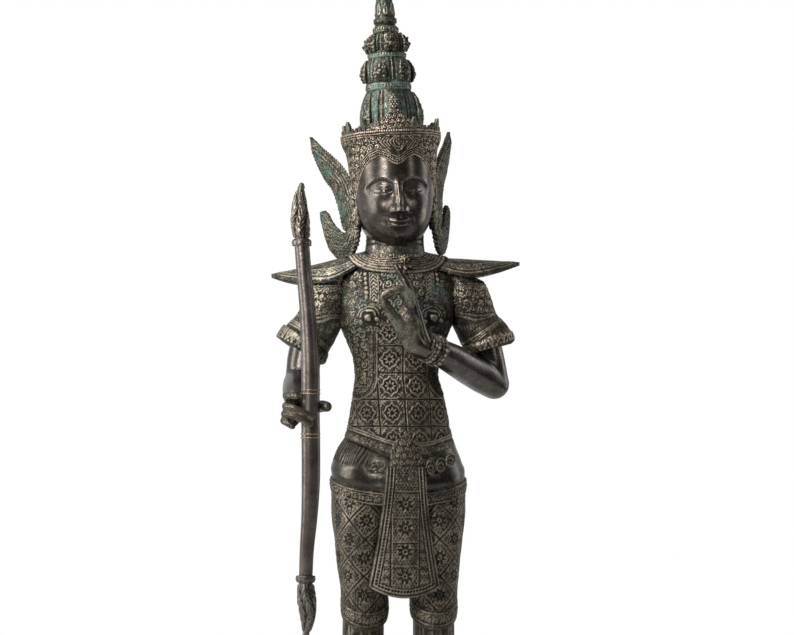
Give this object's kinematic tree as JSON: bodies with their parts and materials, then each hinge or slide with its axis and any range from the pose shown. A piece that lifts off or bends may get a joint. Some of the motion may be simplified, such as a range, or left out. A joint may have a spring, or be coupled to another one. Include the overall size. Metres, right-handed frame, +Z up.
{
  "type": "bronze deity statue",
  "caption": "Standing crowned deity in court dress, holding a bow and raising a hand, cast in patinated bronze, on a low lotus base.",
  "frame": {"origin": "middle of the base's flat underside", "axes": "+Z up along the figure, -Y the way it faces, +X towards its left hand"},
  "size_m": [0.504, 0.463, 1.7953],
  "materials": {
    "figure_bronze": "dark grey-brown cast bronze, relief with tan earth and green verdigris in its hollows, polished on face and arms",
    "bow_bronze": "smooth dark polished bronze with worn brown edges",
    "base_bronze": "dark grey-brown cast bronze with earth and verdigris in the petals"
  },
  "bodies": {
    "root": {"figure": "figure_bronze", "bow": "bow_bronze", "base": "base_bronze"}
  },
  "joints": []
}
